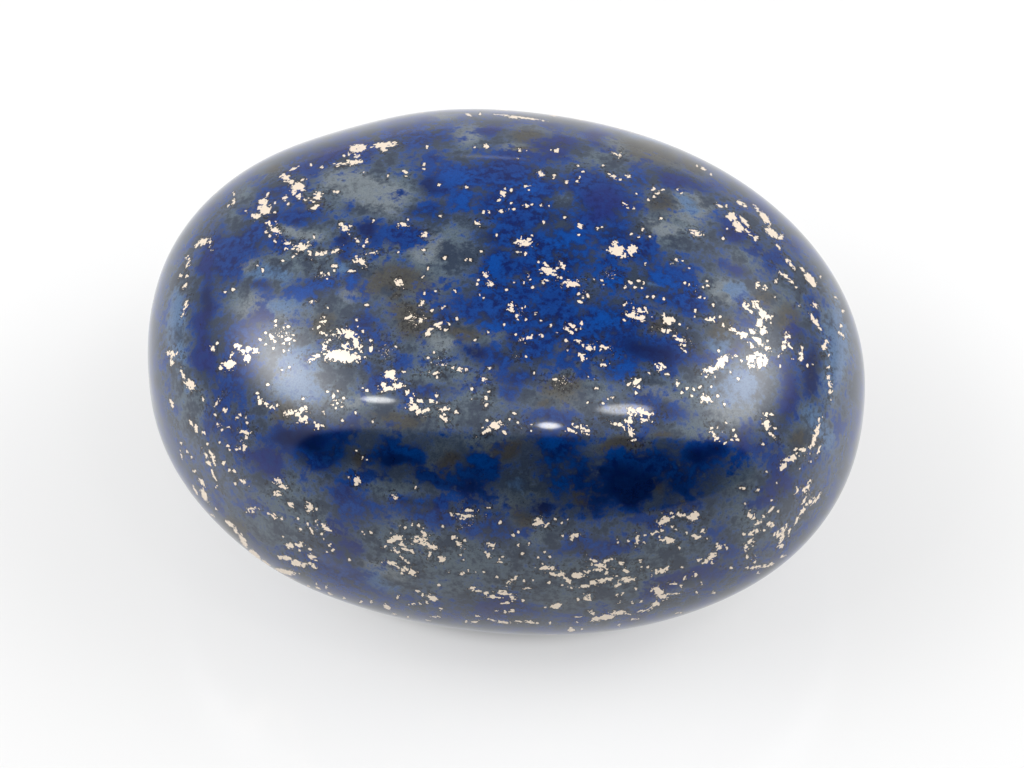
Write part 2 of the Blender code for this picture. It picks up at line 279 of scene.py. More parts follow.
# Flecks of pyrite, as ragged ovals. The rows are as above, and may also say how solid a fleck is,
# from 0, a loose sprinkling, to 1, which goes without saying.
FLECKS = (
    # Upper left.
    (358, 148, 9.5, 4.5, 5), (357, 156, 3, 2.5, 30), (384, 145, 13, 3, 6), (384, 149, 4, 2),
    (354, 162, 8, 2.5, 5), (340, 164, 6, 1.3), (293, 169, 3, 1.5, 20), (286, 178, 5, 3, -20),
    (291, 181, 3, 2, -45), (298, 187, 7, 4.5, -10), (294, 192, 3.5, 3, -30), (299, 196, 3, 2, -50),
    (318, 196, 5.5, 3, 75), (312, 201, 5, 1.2, -15, 0.5), (316, 207, 4, 2.2, 20, 0.6),
    (285, 198, 2.5, 1.5, 60), (263, 203, 4, 4), (264, 209, 6.5, 5, -20), (257, 216, 4.5, 2.3, 25),
    (267, 195, 2.2, 1.1, 70), (234, 201, 2.6, 1.2, 70, 0.6), (269, 224, 2.5, 2, -20),
    (276, 231, 4.5, 2.3, -30), (202, 242, 5.5, 3, 30), (197, 245, 3, 1.3, 30), (210, 242, 3, 1, 80, 0.5),
    (188, 262, 4, 1.6, 80, 0.7), (181, 275, 3, 1.1, 65), (185, 286, 2.6, 1.4, 60), (336, 192, 2.6, 1.2),
    (344, 228, 4.5, 3.8, -20, 0.8), (357, 240, 4, 1.2, -40, 0.4), (366, 242, 2.6, 1.2, 50),
    (286, 243, 2.6, 1.6, 0, 0.7), (301, 247, 8, 3, 5), (292, 249, 4, 1.2, 5), (310, 253, 3.5, 1.2, -65),
    (294, 256, 2.2, 1.5, 20), (319, 254, 4, 2.2, 0, 0.8), (326, 253, 2.5, 1.3), (333, 252, 4.5, 1.2, 25),
    (356, 257, 2.2, 1.6, -40), (362, 262, 4.5, 2.6, -35), (335, 266, 2.2, 1.5, 10), (352, 271, 2.6, 1),
    (372, 253, 4, 0.9, 10, 0.4),
    # Top.
    (468, 115, 3, 1, -10), (514, 117, 5, 1.6, -8), (525, 118, 15, 0.9, -7), (503, 115, 7, 0.8, -5, 0.6),
    (486, 146, 2.8, 1.9, -20), (557, 150, 2.6, 2.3), (405, 172, 2.5, 1.7, -60), (541, 174, 3.3, 3, 0, 0.6),
    (620, 155, 2.5, 1.3, 60), (616, 154, 3, 0.8, -30), (612, 176, 3.8, 1.4, -25), (628, 176, 2.3, 1.3, -20),
    (527, 186, 2.2, 0.9), (503, 194, 3, 3), (500, 200, 2.2, 0.9, 10), (526, 205, 2.5, 1.3, -10, 0.7),
    (501, 211, 2.7, 1.1), (478, 223, 2.8, 1.3, -35), (403, 225, 3.5, 1.6, 0, 0.5), (425, 235, 3, 2.3),
    (580, 226, 2.6, 2.6, 0, 0.8), (524, 243, 7, 3, -10, 0.6), (529, 240, 2, 2), (518, 252, 2.4, 1),
    (545, 264, 2.6, 1, -50), (548, 271, 7, 3.6, -10, 0.8), (552, 274, 4, 2, -30), (562, 265, 3, 1.5, -60),
    (547, 280, 2.7, 1.2, -30), (572, 283, 9, 3, 0, 0.9), (486, 276, 3, 1.8, -70), (490, 283, 3, 2, -50),
    (617, 250, 8, 6), (616, 244, 3.5, 3), (623, 255, 4.5, 2.4), (625, 204, 2, 1.6, -30, 0.7),
    (399, 283, 4, 3, -30, 0.2),
    # Upper right.
    (654, 189, 2, 1.4, 0, 0.5), (658, 193, 2.4, 1.5, 0, 0.6), (643, 229, 2.2, 1.2, -50),
    (632, 250, 5, 5, 0, 0.8), (677, 260, 2.3, 1.8, -40), (696, 233, 6, 3, -20, 0.25),
    (740, 203, 3.5, 2.3, -45), (745, 206, 2.6, 1.3, -50), (720, 206, 3, 1.5, -30, 0.6),
    (732, 217, 5.5, 4.5, -30), (738, 226, 8, 3.5, -48), (748, 232, 4, 1, -50), (744, 221, 6, 1.8, -50),
    (757, 209, 5, 1.3, -50), (765, 218, 8, 3.2, -52), (772, 233, 8, 3.5, -38), (781, 237, 3, 2, 60),
    (778, 246, 4, 0.9, -55), (756, 238, 2.8, 1.5, 80), (790, 263, 5, 1.8, -42), (785, 276, 8, 1.3, -40),
    (810, 279, 9.5, 3.6, -52), (803, 270, 3, 1, -50), (757, 285, 2.3, 1.5, 70), (764, 288, 2.3, 1.8, 20),
    (630, 283, 2.5, 1.4, -30), (703, 168, 3, 1.2, -35), (815, 305, 3.5, 1.8, -50),
    # Left.
    (185, 308, 5.5, 1.2, 70), (313, 302, 2.6, 1.3, 15), (322, 322, 3, 2.8, 0, 0.8), (318, 327, 2.2, 1.3, 50),
    (323, 333, 2.2, 1), (272, 337, 3, 1.8, -60), (288, 338, 3, 2.4, -60), (350, 334, 9, 4, -15, 0.9),
    (356, 342, 7, 4, -80, 0.9), (342, 356, 18, 6.5, -5, 0.95), (324, 347, 5, 2, 70), (346, 347, 5, 3, -10),
    (317, 356, 4.5, 1.3), (311, 359, 3, 2.4, 20), (371, 350, 2.6, 1.2, 80), (238, 346, 3, 2.4, -60),
    (243, 352, 3.5, 1.6, -45), (248, 350, 3.5, 3, 60), (247, 357, 5, 3.8, 20), (255, 351, 2.7, 1.9, 10),
    (232, 355, 2.6, 1.1, 60), (229, 365, 6.5, 4.3, 15), (212, 348, 2.4, 2.3), (172, 354, 4.2, 2.8),
    (172, 362, 3.4, 1.3, 90), (183, 376, 5, 1.3, -70), (190, 385, 6, 3.5, -45, 0.2), (260, 402, 2.6, 2.1),
    (266, 404, 2.5, 1.6, -10), (273, 408, 2.3, 2, 20), (217, 403, 3.7, 1, 55),
    (172, 404, 3.2, 1.2, -75, 0.6), (203, 400, 3, 0.8, -75, 0.6), (225, 410, 2.2, 2),
    (191, 423, 3, 1.4, -65), (196, 428, 3.3, 1.4, -75), (204, 433, 2.2, 1.4, -20), (245, 432, 3.8, 2),
    (246, 438, 2.6, 2, 60), (244, 447, 3.8, 1.4, 80), (237, 449, 2.7, 1.5, 5), (212, 455, 5, 2, -65),
    (206, 456, 3.5, 1, -60), (209, 463, 3, 2, -50, 0.7), (214, 463, 2.6, 1, -60),
    (181, 455, 3, 0.9, -80, 0.7), (290, 413, 5, 2, 10), (303, 409, 4.2, 3, 20), (302, 419, 5, 3, 10),
    (297, 414, 5, 2.5), (318, 426, 2.7, 2.1), (324, 413, 2.2, 0.9, -60, 0.6), (333, 397, 3.3, 2, 80),
    (390, 376, 6.5, 5, -20, 0.85), (386, 388, 4.5, 2.5, 0, 0.8), (397, 386, 5.5, 2.6, 20, 0.85),
    (383, 384, 3, 1.8, 80),
    # Middle.
    (422, 304, 2.6, 1.5, 60, 0.6), (410, 317, 3.8, 1.8, 5, 0.8), (421, 320, 3, 1.8, 30, 0.7),
    (429, 333, 2.3, 2), (431, 329, 3, 1.2, 20), (438, 324, 4.2, 1.5, 20), (511, 307, 3.2, 2.6, 60),
    (517, 315, 2, 1.3, 50), (527, 338, 5, 2.3, 5), (567, 328, 2.2, 2), (571, 325, 2.8, 1.3, -30),
    (571, 332, 2.6, 1.3, -35), (582, 323, 2.2, 1.4, 70), (578, 341, 2.7, 1.3, -10), (589, 348, 3.7, 2.4, 5),
    (594, 348, 2.2, 1.3, 60), (605, 347, 4.5, 1.3, -22), (583, 358, 2.7, 2.4, -30), (604, 364, 3, 1.6, -5),
    (580, 302, 2.2, 1.3, -20), (442, 365, 3.2, 1, 0, 0.6), (460, 370, 2.2, 1.6, 0, 0.8),
    (434, 373, 3.5, 0.9, 0, 0.5), (484, 380, 3.3, 1.5, -40), (471, 389, 2.2, 1.2, -45),
    (486, 399, 3.2, 1.3, 80, 0.7), (556, 379, 3, 0.9, 0, 0.5), (610, 399, 2.2, 1.4, 20),
    (408, 393, 2.2, 1.6, 0, 0.7), (411, 399, 4, 2.3, 80, 0.8), (413, 407, 4.2, 3, 0, 0.9),
    (425, 411, 4.3, 3, 10), (421, 401, 2.6, 1.8, 10), (419, 412, 2.6, 1.8), (433, 401, 2.7, 1.7),
    (436, 396, 2.2, 1.1, 85), (445, 408, 3.6, 1.9, 15), (443, 418, 3.5, 1.3, -35),
    (494, 425, 5.5, 3, 10, 0.85), (488, 430, 3.5, 1.5, 25), (504, 432, 2.7, 1.1, -30),
    (519, 424, 2.5, 0.8, -40), (530, 424, 2.5, 0.8, -40), (568, 430, 2.5, 1.8), (573, 431, 2.8, 1.3, -25),
    (577, 427, 2.2, 1.3, 0, 0.8), (585, 429, 5, 3, -30, 0.15), (618, 424, 6, 1.5, -20),
    # Right.
    (632, 315, 4.2, 2.5, -10, 0.9), (640, 318, 5, 3, -10, 0.8), (640, 311, 5, 1.8, -15, 0.4),
    (664, 315, 2.2, 2), (669, 321, 5, 4.5, 0, 0.6), (666, 331, 4, 1.8, -10, 0.5),
    (679, 339, 5.5, 2.4, -32, 0.8), (685, 351, 2.5, 1, -40, 0.5), (660, 367, 4, 3, 0, 0.3),
    (636, 382, 4, 3, 30, 0.4), (639, 386, 2.2, 1.5, 60, 0.8), (711, 319, 3, 2, 0, 0.9),
    (733, 330, 3, 1.7, -50), (745, 306, 4.5, 2, -40, 0.8), (750, 311, 3, 1.2, -45), (756, 301, 2.6, 1),
    (757, 307, 4, 2, -55), (763, 314, 6, 3.8, -40, 0.9), (768, 317, 3.5, 3), (760, 323, 4.5, 3.5, 60, 0.85),
    (763, 331, 4.5, 3.5, 70, 0.9), (744, 335, 4.2, 4), (752, 332, 3.3, 2, 0, 0.7), (758, 341, 7, 3, -40),
    (766, 347, 4, 1.8, -45), (752, 346, 3.5, 1.6, -45), (757, 360, 10, 8, 0, 0.25),
    (755, 364, 5, 2.5, 10, 0.5), (765, 358, 3, 2.5, -40, 0.6), (721, 362, 6, 4.5, 55),
    (711, 370, 6.5, 3.2, 15), (726, 358, 3, 2, 50), (705, 376, 2.2, 1.4, 80), (715, 376, 2.2, 1.4, 80),
    (677, 384, 2.4, 1.7, 70), (703, 398, 3, 2.7), (708, 400, 2.6, 2.2), (785, 341, 5, 1.7, 75, 0.6),
    (784, 348, 3, 2.4, -40, 0.8), (789, 346, 2.3, 1.3, -60), (801, 355, 5, 1.7, -80), (825, 345, 4.5, 2, 68),
    (829, 377, 3, 1.8, 80), (830, 384, 3, 1.8, -70), (830, 392, 2.4, 1.5, 60), (841, 334, 3, 1.2, -55),
    (812, 317, 3.5, 1.8, -60), (816, 322, 4, 2.2, -50), (820, 329, 2.3, 0.9, -60), (767, 425, 5.5, 3.3, -60),
    (771, 434, 3, 1, -45), (766, 415, 2.6, 1.5), (713, 434, 4.2, 1.8, -65), (717, 438, 2.4, 1.6, 30),
    (735, 436, 2.2, 1.5, 0, 0.8), (629, 420, 6.5, 3.2, 80), (631, 432, 5, 2, -75), (634, 440, 3, 1.4),
    (641, 412, 10, 3.3, -10, 0.85), (643, 420, 5, 1.8, -5), (815, 437, 13, 2.3, 70),
    (803, 450, 2.7, 1.5, 10), (819, 450, 3.8, 0.9, 70), (783, 466, 4.5, 2.6, 50), (791, 459, 7, 3, 25, 0.9),
    # Lower left.
    (213, 474, 5.5, 0.8, -65, 0.7), (202, 482, 4.8, 2, -55), (204, 495, 8, 2.3, -68),
    (195, 490, 5, 0.9, -60, 0.5), (243, 482, 3.8, 1.7, -42), (278, 481, 4, 2.6, 10, 0.8),
    (284, 487, 3.8, 2.2, -20, 0.8), (278, 494, 3, 1.8, -10, 0.8), (291, 504, 3.4, 1.8, -48),
    (309, 508, 4.4, 2.8, -70), (252, 510, 4, 2.3, 10, 0.7), (273, 516, 2.7, 1.5, -35),
    (300, 529, 2.2, 1, -50), (311, 530, 3.5, 0.8, -60), (326, 528, 5.6, 2.5, -40), (290, 546, 4.2, 3, -15),
    (299, 545, 4, 1.9, 10, 0.8), (312, 557, 4.5, 2, -30), (314, 566, 3.4, 1.4, -30),
    (285, 558, 6.5, 2.5, -12), (296, 563, 6.5, 3, -15), (303, 565, 3, 2.5, 0, 0.8),
    (285, 572, 11, 2.6, -12, 0.85), (288, 577, 5.5, 0.9, -12, 0.7), (230, 524, 6.5, 2.2, -40),
    (236, 531, 3, 1.6, -50), (243, 541, 8, 2.5, -62), (255, 555, 8.5, 3.8, -42, 0.9),
    (266, 563, 6, 1.8, -35, 0.8), (212, 515, 2.6, 0.8, -30, 0.5), (330, 594, 2.8, 1.2, -28),
    (318, 588, 2.7, 0.9, -25), (387, 607, 4.4, 2.2, -28), (394, 614, 2.2, 0.6, -10), (356, 480, 4, 3.5, -20),
    (395, 497, 3, 2.5, -40, 0.15),
    # Lower middle.
    (466, 516, 6.5, 1.5, -5), (468, 511, 4, 1.3), (463, 519, 4, 1, -5), (537, 519, 3, 1.4, 20, 0.8),
    (540, 524, 5, 2.6, -5, 0.9), (574, 536, 3.7, 1.6, 5), (392, 540, 4.2, 2, 10), (399, 538, 4.5, 2.4, -10),
    (402, 544, 4.4, 1.8, -35), (385, 546, 2.2, 1.1, 35), (396, 551, 4.5, 2, -40), (408, 550, 7, 1.2, -18),
    (424, 533, 4, 1.8, -70), (419, 540, 6, 2.3, 15), (427, 545, 6.5, 2.3, -25), (415, 537, 3.5, 1, 10),
    (435, 547, 3, 1, -10), (430, 554, 4, 1.3, 75), (442, 559, 3.7, 3.4), (455, 538, 2.7, 2.3, -20),
    (459, 544, 3.6, 1.4, -50), (491, 545, 3, 1.8, 5), (488, 555, 2.5, 1.9, -30), (502, 562, 2.5, 0.9, -10),
    (390, 563, 5.5, 1.7, -3), (398, 567, 4.2, 1.1, -25), (405, 569, 4.2, 2, 5), (412, 572, 4, 2.8, -30),
    (405, 560, 4, 0.8, -35, 0.7), (463, 573, 2.2, 1.4, 30), (515, 578, 2.2, 1.3, 70),
    (508, 582, 3, 1, 30, 0.4), (546, 568, 6.3, 1.8), (553, 574, 2.3, 1.8), (560, 574, 4.3, 2, 10),
    (567, 580, 4.5, 1.6, -32), (578, 575, 6, 2.6, -3, 0.95), (587, 571, 3.2, 1.9, 15), (600, 565, 7, 2, -5),
    (594, 561, 4.2, 1.3, -30), (607, 561, 5, 1.1, 18), (598, 570, 7.5, 1.3, 3), (606, 573, 2, 2, 0, 0.8),
    (604, 580, 8.5, 1.9, 12), (593, 583, 3.2, 2.1), (584, 586, 7, 1.3, 5, 0.8), (621, 563, 2.8, 1.8, 20),
    (626, 571, 2.2, 1.6, -30), (618, 584, 3.8, 2, 20), (628, 580, 7.5, 2, 8), (526, 588, 3, 1),
    (417, 591, 2.6, 1.3, 0, 0.7), (432, 598, 5.5, 2.8, -25, 0.9), (413, 604, 2.5, 1),
    (473, 589, 2.5, 1.8, -20, 0.5), (480, 591, 4, 0.8, -5, 0.6), (486, 593, 2.6, 1.5, -20),
    (494, 597, 6, 1.3), (503, 593, 6, 1.7, -8), (512, 597, 3.5, 2.8, -40, 0.8), (505, 603, 2.6, 0.9, 10),
    (556, 606, 4.7, 2, 8, 0.75), (588, 597, 4, 2.5, 20, 0.1), (497, 611, 2.6, 0.9, 5),
    (512, 611, 3.2, 1, 15), (477, 616, 2.5, 0.6, -10), (474, 622, 2.6, 0.9, 10), (492, 620, 3, 0.8, -15),
    (503, 622, 6, 1.4, -5), (518, 621, 3.5, 1.1, -3), (530, 622, 4.5, 1.3, -5), (435, 617, 3.1, 0.8, -2),
    (427, 620, 2.5, 0.5, -15), (592, 613, 2.7, 1.8, -30), (596, 619, 5, 2.3, 15), (606, 617, 10, 3, 12),
    (618, 613, 6, 2.2, 5), (627, 614, 2.7, 1, -5), (621, 602, 2.7, 0.9, 8), (571, 630, 3.6, 2.3, 0, 0.9),
    (578, 617, 2.5, 0.6),
    # Lower right.
    (637, 540, 3.5, 1.8, 75), (655, 533, 2.7, 1.7, 30), (668, 541, 6, 3, 0, 0.12),
    (664, 521, 7, 2.8, 28, 0.95), (672, 517, 4, 1.5, 20), (680, 515, 6.5, 1.3, -5),
    (688, 517, 3.5, 1.2, -35), (693, 516, 4, 3, 60, 0.85), (697, 516, 2.8, 1.5, 75),
    (698, 537, 4.7, 2.2, -10, 0.85), (703, 531, 2, 1.5, 15), (720, 547, 3.8, 2.2, 42),
    (712, 556, 4.6, 2.8, 50), (706, 562, 2.8, 1.5, 40), (699, 560, 2.2, 1.8), (661, 571, 4.3, 1.5),
    (667, 568, 2.7, 1.6, 50), (684, 579, 2.7, 0.9, 50), (695, 574, 2.7, 2.2, 0, 0.8), (674, 584, 2.6, 1.2),
    (658, 591, 5, 3.8, -30), (663, 597, 5.5, 2.3, -5), (674, 594, 6, 0.9, 5), (656, 604, 4.5, 2.5, 15),
    (650, 608, 4, 1.5, 28), (644, 611, 2.5, 0.7, 25), (678, 613, 2.7, 0.8, 10, 0.6), (635, 619, 3, 0.9, 3),
    (640, 611, 2.8, 0.8, 25), (743, 488, 2.6, 0.8), (751, 516, 3.5, 2.6, -45), (770, 511, 5.3, 1.2, 55),
    (758, 523, 5, 1.6, 30), (770, 524, 2.6, 2.2, -20, 0.8), (756, 531, 3.2, 1.8, 20),
    (751, 534, 2.5, 1.5, 35), (750, 542, 4, 1.8, 35, 0.9), (746, 548, 3.5, 2, 60, 0.9),
    (752, 546, 2.5, 1.2, -60, 0.7), (780, 534, 5, 4, 0, 0.3), (783, 529, 2.5, 1.8, 60, 0.7),
    (781, 539, 5, 2.2, 80, 0.8), (781, 546, 3, 2.3, 20, 0.8), (786, 527, 2.5, 1.2, 75),
    (789, 532, 3, 0.8, 80, 0.6), (775, 534, 2.6, 1.2, 75, 0.6), (802, 511, 4, 2, 55, 0.8),
    (797, 520, 5, 1.5, 62), (808, 486, 4.5, 1.6, 65), (805, 490, 3, 1.5, 10), (797, 491, 4, 1.2, 80),
    (811, 502, 5.5, 2.4, 25, 0.8), (818, 497, 5, 1.2, 62), (804, 501, 4, 0.8, 65, 0.7),
    (757, 567, 8, 1.1, 8), (767, 566, 4, 1.2, 15, 0.8), (772, 564, 2.7, 1.2, 10, 0.8),
    (783, 556, 2.8, 1, 30, 0.4),
)

# How far inside its edge a fleck counts, in millimetres, at its loosest and by how solid it is.
LOOSE_DEPTH = 0.01
SOLID_DEPTH = 0.12

# Flecks narrower than this half-width, in millimetres, are less ragged.
RAGGED_WIDTH = 0.10

# Single grains of pyrite, by pixel x and y, all of one radius in pixels.
GRAIN_RADIUS = 1.15
GRAINS = (
    # Upper left.
    (299, 166), (307, 181), (288, 204), (275, 212), (272, 206), (234, 194), (211, 250), (186, 258),
    (350, 226), (233, 289), (344, 156), (349, 154), (311, 165), (322, 167), (364, 172), (388, 176),
    (303, 180), (275, 203), (246, 211), (252, 215), (228, 206), (276, 222), (270, 236), (275, 241),
    (266, 232), (350, 235), (373, 221), (285, 249), (283, 261), (314, 237), (300, 244), (308, 242),
    (354, 261), (334, 271), (325, 275), (329, 274), (327, 279), (322, 273), (258, 266), (263, 270),
    (187, 276), (364, 246),
    # Top.
    (480, 114), (427, 147), (554, 176), (466, 187), (529, 190), (505, 189), (532, 204), (509, 209),
    (514, 209), (511, 204), (489, 212), (424, 250), (445, 258), (544, 222), (602, 227), (539, 262),
    (561, 278), (478, 280), (629, 248), (475, 147), (551, 150), (424, 164), (424, 169), (517, 158),
    (520, 150), (527, 150), (578, 166), (583, 172), (580, 177), (577, 181), (620, 180), (567, 182),
    (440, 185), (511, 190), (541, 205), (549, 206), (483, 212), (441, 216), (398, 224), (408, 220),
    (399, 252), (497, 235), (564, 218), (579, 235), (598, 228), (466, 260), (470, 260), (481, 252),
    (516, 243), (526, 254), (521, 238), (531, 236), (557, 269), (543, 283), (477, 284), (529, 276),
    (530, 280), (524, 283), (533, 287), (514, 282), (607, 250), (628, 208), (428, 269), (423, 277),
    (594, 279), (602, 280), (603, 285), (626, 287), (603, 165),
    # Upper right.
    (648, 200), (654, 197), (678, 189), (682, 193), (637, 194), (639, 236), (650, 237), (672, 263),
    (682, 261), (646, 263), (690, 268), (726, 206), (723, 238), (794, 268), (776, 281), (775, 297),
    (685, 283), (703, 287), (635, 287), (639, 281), (644, 283), (625, 288), (664, 299), (713, 305),
    (836, 297), (799, 305), (634, 208), (663, 190), (661, 219), (631, 234), (727, 229), (707, 286),
    (706, 281), (690, 285), (642, 288), (647, 296), (653, 297), (700, 298), (705, 298), (711, 174),
    (697, 166), (821, 277), (797, 287),
    # Left.
    (183, 288), (225, 292), (327, 307), (367, 305), (286, 323), (275, 342), (290, 343), (282, 337),
    (283, 327), (370, 340), (361, 347), (221, 368), (217, 343), (257, 393), (240, 415), (247, 423),
    (241, 441), (220, 442), (181, 443), (275, 321), (276, 326), (288, 327), (266, 333), (260, 340),
    (266, 344), (293, 335), (287, 333), (283, 343), (294, 341), (274, 349), (284, 351), (289, 350),
    (324, 317), (313, 329), (330, 340), (334, 335), (338, 330), (327, 335), (363, 331), (361, 352),
    (358, 327), (357, 319), (396, 347), (283, 370), (290, 367), (268, 385), (304, 399), (258, 397),
    (277, 405), (215, 415), (217, 424), (222, 430), (229, 427), (237, 418), (246, 418), (208, 444),
    (228, 446), (230, 450), (314, 422), (343, 421), (333, 405), (337, 404), (328, 392), (338, 391),
    (336, 408), (342, 407), (344, 398), (373, 422), (356, 413), (362, 388), (367, 390), (224, 463),
    # Middle.
    (432, 310), (442, 308), (480, 295), (521, 308), (525, 307), (526, 320), (532, 336), (539, 335),
    (557, 333), (581, 327), (583, 345), (579, 354), (600, 350), (579, 294), (453, 368), (490, 368),
    (486, 405), (589, 377), (603, 404), (624, 381), (628, 385), (444, 414), (487, 421), (531, 431),
    (425, 293), (455, 291), (436, 291), (444, 306), (413, 323), (416, 326), (426, 331), (440, 327),
    (449, 324), (446, 330), (457, 319), (483, 298), (488, 333), (517, 320), (506, 290), (505, 325),
    (516, 334), (542, 336), (541, 321), (551, 325), (535, 313), (576, 329), (566, 340), (568, 350),
    (583, 298), (588, 296), (475, 340), (526, 356), (434, 352), (428, 358), (466, 370), (437, 377),
    (472, 398), (488, 392), (534, 373), (594, 379), (597, 388), (587, 403), (404, 372), (437, 402),
    (456, 412), (405, 407), (514, 413), (510, 420), (483, 428), (573, 424),
    # Right.
    (685, 345), (742, 361), (768, 341), (687, 388), (694, 389), (700, 387), (682, 393), (790, 337),
    (779, 356), (780, 366), (802, 347), (807, 365), (828, 367), (831, 399), (775, 428), (772, 414),
    (722, 432), (725, 443), (732, 440), (727, 423), (763, 444), (819, 420), (767, 472), (811, 462),
    (625, 305), (628, 303), (624, 321), (645, 309), (652, 317), (663, 331), (667, 374), (649, 373),
    (636, 393), (695, 311), (694, 317), (680, 324), (687, 329), (720, 317), (723, 325), (737, 334),
    (733, 357), (736, 355), (730, 371), (738, 379), (719, 351), (711, 387), (692, 396), (718, 396),
    (725, 404), (771, 322), (793, 359), (829, 355), (812, 364), (712, 428), (718, 428), (721, 441),
    (733, 430), (737, 440), (796, 449), (800, 468), (843, 311), (841, 326),
    # Lower left.
    (195, 471), (229, 470), (234, 471), (217, 486), (317, 509), (268, 513), (282, 519), (308, 524),
    (316, 521), (324, 538), (330, 545), (333, 550), (300, 550), (310, 563), (216, 509), (361, 602),
    (371, 602), (349, 560), (365, 534), (349, 477), (362, 458), (192, 457), (187, 452), (235, 484),
    (298, 519), (317, 526), (322, 534), (310, 549), (283, 537), (327, 552), (362, 532), (371, 533),
    (308, 586), (316, 584), (344, 598), (357, 451), (367, 460), (326, 587),
    # Lower middle.
    (489, 507), (486, 514), (500, 522), (547, 524), (518, 532), (513, 535), (571, 540), (391, 533),
    (405, 527), (443, 527), (493, 549), (529, 544), (518, 545), (522, 554), (503, 557), (402, 573),
    (449, 571), (468, 571), (476, 572), (483, 572), (497, 577), (543, 564), (535, 567), (571, 588),
    (563, 585), (423, 595), (420, 604), (427, 602), (523, 600), (578, 599), (505, 612), (466, 621),
    (537, 623), (408, 617), (550, 623), (582, 629), (577, 622), (416, 487), (451, 515), (555, 519),
    (562, 523), (568, 520), (563, 536), (400, 525), (411, 525), (419, 526), (465, 541), (486, 552),
    (545, 552), (550, 557), (500, 560), (538, 557), (461, 555), (464, 560), (512, 580), (507, 587),
    (524, 581), (533, 581), (549, 583), (398, 597), (439, 585), (441, 609), (546, 607), (568, 587),
    (585, 597), (590, 599), (618, 542),
    # Lower right.
    (628, 541), (662, 531), (680, 548), (727, 548), (712, 563), (682, 567), (652, 590), (697, 593),
    (702, 583), (632, 603), (641, 601), (617, 595), (622, 593), (619, 625), (746, 504), (777, 483),
    (778, 511), (764, 517), (764, 530), (755, 562), (645, 535), (644, 542), (659, 537), (672, 527),
    (676, 529), (687, 533), (717, 544), (656, 573), (652, 575), (640, 561), (641, 567), (647, 567),
    (681, 586), (636, 589), (714, 593), (744, 534), (758, 490), (771, 500), (731, 568), (758, 573),
    (748, 557),
)

# Flecks at least this long, in half-length pixels, are kept in a layer of their own above the small ones.
LARGE_FLECK = 3.0

# The tent round the stone, as light by direction. Azimuth 0 is towards the camera, and plus is to its right.
# Each row is a turned oval of directions: azimuth and elevation of its middle, half-length, half-width
# and turn anticlockwise, all in degrees, and its strength. Glows add light softly, dim parts take away
# a share of it, the opening for the camera is dark, and lamps are small and sharper.
TENT = 0.70
GLOWS = (
    (-85, 40.5, 20, 12, 0, 10.6),
    (92, 40, 21, 13.5, 0, 9.0),
    (134, 32, 14, 10, 0, 1.2),
    (0, 68, 30, 13, 0, 0.55),
    (38, 70, 12, 8, 0, 1.2),
    (-125, 58, 20, 13, 0, 0.9),
)
DIM_PARTS = ((178, 56, 32, 26, 0, 0.75), (118, 74, 22, 13, 0, 0.65), (0, 90, 14, 14, 0, 0.3))
OPENING = (3, 12, 62.2, 41.1, 0)
OPENING_SOFTNESS = 0.03
NEAR_EDGE = (-18, 2, 32, 11, 0, 0.3)
LAMPS = (
    (-53, 54, 3.4, 1.3, 56, 20.0),
    (5, 59.5, 1.9, 1.5, 0, 26.0),
    (43, 62.5, 5.6, 2.4, -35, 12.0),
    (180, 22.5, 2.8, 0.7, 0, 1.2),
)
LAMP_SOFTNESS = 0.3
BACKDROP = (0.93, 0.935, 0.94, 1.0)
FLOOR_SIZE = 6.0

# The floor is white acrylic, glossy and lit from within: strongly round the stone and less far off.
# Its glow fades out under and just round the stone as a painted contact shadow, and it has a painted
# pool of light under each softbox. Lengths here are in metres.
FLOOR_COLOUR = (0.32, 0.32, 0.32, 1.0)
FLOOR_GLOW = 0.53
FLOOR_FAR_GLOW = 0.29
FLOOR_SHADE_NEAR = 0.0066
FLOOR_SHADE_FAR = 0.0086
FLOOR_GLOW_NEAR = 0.02
FLOOR_GLOW_FAR = 0.12
POOLS = ((-102, 0.5), (100, 0.8))
POOL_DISTANCE = 0.065
POOL_RADIUS = 0.025
FLOOR_ROUGHNESS = 0.15
FLOOR_GAP = 0.00002

WHITE = (1.0, 1.0, 1.0, 1.0)

# Where a mix node keeps its two colour inputs and its colour output.
MIX_FIRST = 6
MIX_SECOND = 7
MIX_RESULT = 2

# A row of the tables, where one that gives only its place is a grain, and a mark on the stone.
Row = namedtuple("Row", "x y half_length half_width turn solid", defaults=(GRAIN_RADIUS, GRAIN_RADIUS, 0, 1))
Mark = namedtuple("Mark", "centre along across out solid")


def srgb(red, green, blue):
    """A colour read as screen values of 0 to 255, as the linear light that shaders take."""
    def linear(value):
        share = value / 255
        return share / 12.92 if share <= 0.04045 else ((share + 0.055) / 1.055) ** 2.4

    return (linear(red), linear(green), linear(blue), 1.0)


def unit_vector(azimuth, elevation):
    """The direction at an azimuth from +X towards +Y and an elevation, both in degrees."""
    around = math.radians(azimuth)
    up = math.radians(elevation)
    return np.array((math.cos(around) * math.cos(up), math.sin(around) * math.cos(up), math.sin(up)))


